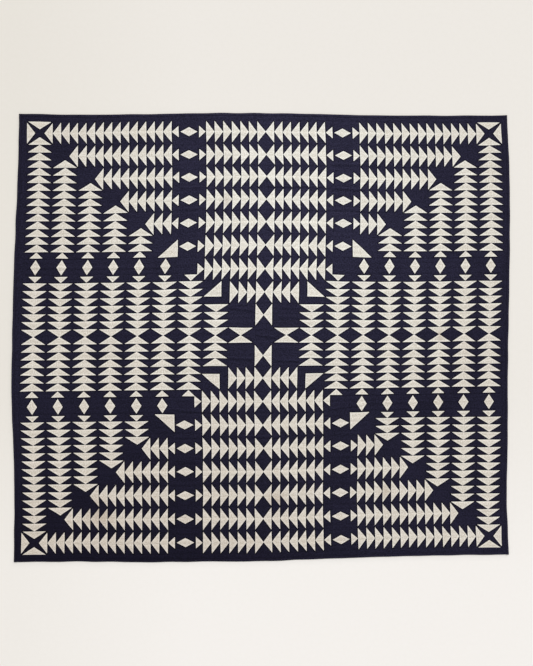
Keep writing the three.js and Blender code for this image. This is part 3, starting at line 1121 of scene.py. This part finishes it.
# %% Build the stitching tree
def stitching_tree(thread):
    tree = bpy.data.node_groups.new("running stitches", "GeometryNodeTree")
    given = stitching_inputs(tree)

    def add(kind, inputs=(), **settings):
        return add_node(tree, kind, inputs, **settings)

    lines = add("GeometryNodeMeshToCurve", {"Mesh": given["Sewn lines"]})
    even = {"Curve": lines.outputs["Curve"], "Length": given["Stitch step"]}
    points = add("GeometryNodeCurveToPoints", even, mode="LENGTH")
    most = add("ShaderNodeVectorMath", {0: (1, 1, 0), "Scale": given["Waver"]}, operation="SCALE")
    least = add("ShaderNodeVectorMath", {0: most.outputs[0], "Scale": -1.0}, operation="SCALE")
    limits = {"Min": least.outputs[0], "Max": most.outputs[0], "Seed": given["Seed"]}
    shift = add("FunctionNodeRandomValue", limits, data_type="FLOAT_VECTOR")
    moved_by = {"Geometry": points.outputs["Points"], "Offset": shift.outputs["Value"]}
    moved = add("GeometryNodeSetPosition", moved_by)
    turned = add("FunctionNodeAlignRotationToVector", {"Vector": points.outputs["Tangent"]}, axis="X")
    lengths = {0: given["Stitch length"], 1: random_share(tree, given["Seed"])}
    length = add("ShaderNodeMath", lengths, operation="MULTIPLY").outputs[0]
    width = given["Thread width"]
    size = add("ShaderNodeCombineXYZ", {"X": length, "Y": width, "Z": width})
    dashes = {
        "Points": moved.outputs["Geometry"],
        "Instance": add("GeometryNodeMeshUVSphere", DASH).outputs["Mesh"],
        "Rotation": turned.outputs["Rotation"],
        "Scale": size.outputs["Vector"],
    }
    dashed = add("GeometryNodeInstanceOnPoints", dashes)
    real = add("GeometryNodeRealizeInstances", {"Geometry": dashed.outputs["Instances"]})
    coloured = add("GeometryNodeSetMaterial", {"Geometry": real.outputs["Geometry"], "Material": thread})
    add("NodeGroupOutput", {"Stitches": coloured.outputs["Geometry"]})
    return tree


# %% [markdown]
# The thread is navy, like most of the cloth: no light dashes show on the dark patches. A ply twist
# too fine to model is left to the shade.

# %% The thread
THREAD_COLOURS = (0.008, 0.008, 0.017), (0.042, 0.042, 0.072)
PLIES, THREAD_WEAR = (1800, 1800, 1800), (25, 25, 1)  # spots to a metre
THREAD_ROUGHNESS = (0.6, 0.85)


def quilting_thread():
    finish = Finish("quilting thread")
    spot = finish.add("ShaderNodeTexCoord").outputs["Object"]
    plies = finish.noise(spot, PLIES, 1.0)
    shade = finish.shaded(0.5, (plies, 0.8), (finish.noise(spot, THREAD_WEAR), 0.5))
    colour = finish.mixed(shade, *map(rgba, THREAD_COLOURS))
    # the same painted falloff of light as on the cloth
    colour = finish.mixed(painted_falloff_of_light(finish, spot), colour, rgba(PAINTED_FALLOFF_NAVY), "MULTIPLY")
    roughness = finish.ramp(plies, 0.3, 0.7, *THREAD_ROUGHNESS)
    return finish.wear({"Base Color": colour, "Roughness": roughness, "Specular IOR Level": 0.35})


running_stitches = stitching_tree(quilting_thread())
print("the stitching tree has", len(running_stitches.nodes), "nodes")

# %% [markdown]
# The lines are laid on the cloth by looking straight down on it: a ray from above each point finds
# the height of the surface there. So a stitch never floats over a seam or drowns in a puff. The
# modifier's result is kept as a plain mesh, and the lines and the modifier are then removed.

# %% Lay sewn lines on the cloth
LINE_STEP = 3.5 * MM
ABOVE = 50 * MM  # the cloth, where the rays start
THREAD_PROUD = 0.08 * MM


def surface_below(pieces):
    corners, faces = [], []
    for piece in pieces:
        mesh = piece.data
        start = len(corners)
        corners += [v.co.copy() for v in mesh.vertices]
        faces += [[start + i for i in face.vertices] for face in mesh.polygons]
    return BVHTree.FromPolygons(corners, faces)


def sewn_lines(routes, surface):
    """Lines through points of the flat cloth, dropped onto the surface."""
    corners, edges = [], []
    for route in routes:
        steps = max(2, round(np.linalg.norm(np.subtract(*route)) / LINE_STEP))
        share = np.linspace(0, 1, steps + 1)[:, None]
        start = len(corners)
        for x, y in laid(route[0] + (np.array(route[1]) - route[0]) * share):
            hit = surface.ray_cast(Vector((x, y, ABOVE)), Vector((0, 0, -1)))[0]
            corners.append((x, y, hit.z + THREAD_PROUD))
        edges += [(start + i, start + i + 1) for i in range(steps)]
    mesh = bpy.data.meshes.new("sewn lines")
    mesh.from_pydata(corners, edges, [])
    return mesh


# %% Put stitches on the lines
def stitched(name, routes, surface, sizes):
    lines = placed("sewn lines", sewn_lines(routes, surface))
    modifier = lines.modifiers.new("running stitches", "NODES")
    modifier.node_group = running_stitches
    for item in running_stitches.interface.items_tree:
        if item.item_type == "SOCKET" and item.in_out == "INPUT" and item.name in sizes:
            modifier[item.identifier] = sizes[item.name]
    shown = lines.evaluated_get(bpy.context.evaluated_depsgraph_get())
    mesh = bpy.data.meshes.new_from_object(shown)
    mesh.name = name
    mesh.shade_smooth()
    lines.modifiers.remove(modifier)
    bpy.data.objects.remove(lines)
    print(name, len(mesh.polygons), "triangles")
    return placed(name, mesh)


# %% [markdown]
# The quilting runs in straight rows from border to border. It is kept as two pieces, the upper and
# the lower half, so that neither grows too heavy. The binding is held by small slip stitches along
# its inner edge, further apart.

# %% Sew the quilting
THREAD_WIDTH = 0.55 * MM
QUILTING = dict(zip(STITCH_SIZES, (4.9 * MM, 2.7 * MM, THREAD_WIDTH, 0.25 * MM)))
ROW_END = EDGE + 2 * MM  # how far in from the sides the rows stop
cloth = [*panels.values(), *borders.values(), *bindings.values()]
surface = surface_below(cloth)


def quilting_rows(first, last):
    levels = [EDGE + row * QUILTING_STEP * PATCH[1] for row in range(first, last)]
    return [((ROW_END, level), (FLAT[0] - ROW_END, level)) for level in levels]


sewn = {}
for half, first, last, seed in (("upper", 1, PUFFS // 2, 3), ("lower", PUFFS // 2, PUFFS, 4)):
    name = f"quilting_stitches_{half}"
    sewn[name] = stitched(name, quilting_rows(first, last), surface, QUILTING | {"Seed": seed})

# %% Sew the binding down
SLIP_STITCHES = dict(zip(STITCH_SIZES, (7.5 * MM, 1.6 * MM, THREAD_WIDTH, 0.15 * MM)))
SLIP_LINE = BINDING_WIDTH + 0.3 * MM  # just off the binding's inner edge
near, far = np.full(2, SLIP_LINE), FLAT - SLIP_LINE
round_edge = [tuple(near), (far[0], near[1]), tuple(far), (near[0], far[1])]
edge_routes = list(zip(round_edge, round_edge[1:] + round_edge[:1]))
name = "binding_stitches"
sewn[name] = stitched(name, edge_routes, surface, SLIP_STITCHES | {"Seed": 5})

# %% [markdown]
# What each piece is
#
# Every piece rides on the one body, and a panel or strip replaces its plain solid. A panel's cut
# size is its patches, and a strip's is its width before it was folded or tucked under.

# %% Ride and replace
PIECED, NAVY, BINDING = "pieced_cotton", "navy_cotton", "binding_cotton"
UNDER_BINDING, TURNED_IN = 8 * MM, 4 * MM
BORDER_CUT = BORDER_WIDTH + UNDER_BINDING
BINDING_CUT = 2 * BINDING_WIDTH + BINDING_THICKNESS + TURNED_IN
for node, piece in panels.items():
    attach(piece, BODY)
    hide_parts(node)
for made, cut_width, slot in ((borders, BORDER_CUT, NAVY), (bindings, BINDING_CUT, BINDING)):
    for node, piece in made.items():
        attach(piece, BODY)
        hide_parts(node)
for piece in sewn.values():
    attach(piece, BODY)
print(len(panels) + len(borders) + len(bindings), "sheets and", len(sewn), "pieces of stitching")

# %% [markdown]
# The floor
#
# The coverlet lies on a pale floor. Light is painted into its colour: it is lightest past the
# coverlet's lower edge and a little darker past its left one, a painted falloff of one window's light.

# %% The floor
FLOOR_SIZE = 9.0
FLOOR_DROP = 0.2 * MM
FLOOR_COLOURS = (0.76, 0.727, 0.668), (0.87, 0.842, 0.81)
# painted light: lighter past the coverlet's lower edge, darker past its left one
LIGHTER_BELOW = {"low": -0.95, "high": -0.2, "to_low": 0.97, "to_high": 0.47}  # metres up the floor
DARKER_LEFT = {"low": -1.0, "high": -0.3, "to_low": -0.4, "to_high": 0.0}  # metres across it
FLOOR_GRAIN = (60, 60, 1)  # spots to a metre


def pale_floor():
    finish = Finish("pale floor")
    spot = finish.add("ShaderNodeTexCoord").outputs["Object"]
    at = finish.add("ShaderNodeSeparateXYZ", {"Vector": spot}).outputs
    below, left = finish.ramp(at["Y"], **LIGHTER_BELOW), finish.ramp(at["X"], **DARKER_LEFT)
    grain = finish.noise(spot, FLOOR_GRAIN, 3.0)
    shade = finish.shaded(finish.math("ADD", below, left), (grain, 0.2))
    colour = finish.mixed(finish.math("MAXIMUM", shade, 0.0), *map(rgba, FLOOR_COLOURS))
    return finish.wear({"Base Color": colour, "Roughness": 0.95, "Specular IOR Level": 0.1})


out = FLOOR_SIZE / 2
floor_corners = [(x, y, -FLOOR_DROP) for x, y in ((-out, -out), (out, -out), (out, out), (-out, out))]
floor_mesh = bpy.data.meshes.new("floor")
floor_mesh.from_pydata(floor_corners, [], [(0, 1, 2, 3)])
floor_mesh.materials.append(pale_floor())
floor = placed("floor", floor_mesh)
print("floor", FLOOR_SIZE, "m wide")

# %% [markdown]
# Light
#
# A soft light high to the upper right gives the puffs a bright upper slope and a dark lower one. A
# weaker one, low on the same side, leaves a faint shadow past the lower and left edges. The room
# fills the rest.

# %% The light
LIGHTS = [  # where each light stands, seen from the cloth, its softness in degrees and its strength
    {"name": "high window", "from": (0.32, 0.68, 1.1), "softness": 35, "strength": 1.93},
    {"name": "low window", "from": (0.5, 0.85, 0.2), "softness": 9, "strength": 0.63},
]
LIGHT_COLOUR = (1.0, 0.985, 0.96)
ROOM_LIGHT = {"Color": (0.97, 0.98, 1.0, 1.0), "Strength": 0.52}
for light in LIGHTS:
    lamp = bpy.data.lights.new(light["name"], "SUN")
    lamp.energy, lamp.angle, lamp.color = light["strength"], math.radians(light["softness"]), LIGHT_COLOUR
    window = placed(light["name"], lamp)
    window.rotation_euler = Vector(light["from"]).to_track_quat("Z", "Y").to_euler()
room = bpy.data.worlds.new("room")
room.use_nodes = True
for name, value in ROOM_LIGHT.items():
    room.node_tree.nodes["Background"].inputs[name].default_value = value
bpy.context.scene.world = room
bpy.context.scene.view_settings.view_transform = "Standard"
print(len(LIGHTS), "windows and the light of the room")

# %% [markdown]
# Camera
#
# The camera looks straight down from far off, so the sides stay parallel. Its distance follows from
# how much cloth one pixel of the picture covers, and its place from where the middle of the cloth
# lies in the picture.

# %% The camera
PIXEL = 4.11 * MM  # of the picture, at the cloth
PICTURE = (533, 666)
CLOTH_CENTRE = (260.7, 337.5)  # the middle of the cloth in that picture
LENS = 0.085
SENSOR = 0.036  # along the picture's longer side
camera = placed("camera", bpy.data.cameras.new("camera"))
camera.data.lens, camera.data.sensor_width = LENS / MM, SENSOR / MM
camera.location = (
    (PICTURE[0] / 2 - CLOTH_CENTRE[0]) * PIXEL,
    (CLOTH_CENTRE[1] - PICTURE[1] / 2) * PIXEL,
    PICTURE[1] * PIXEL * LENS / SENSOR,
)
bpy.context.scene.camera = camera
print("camera at", tuple(round(x, 3) for x in camera.location))
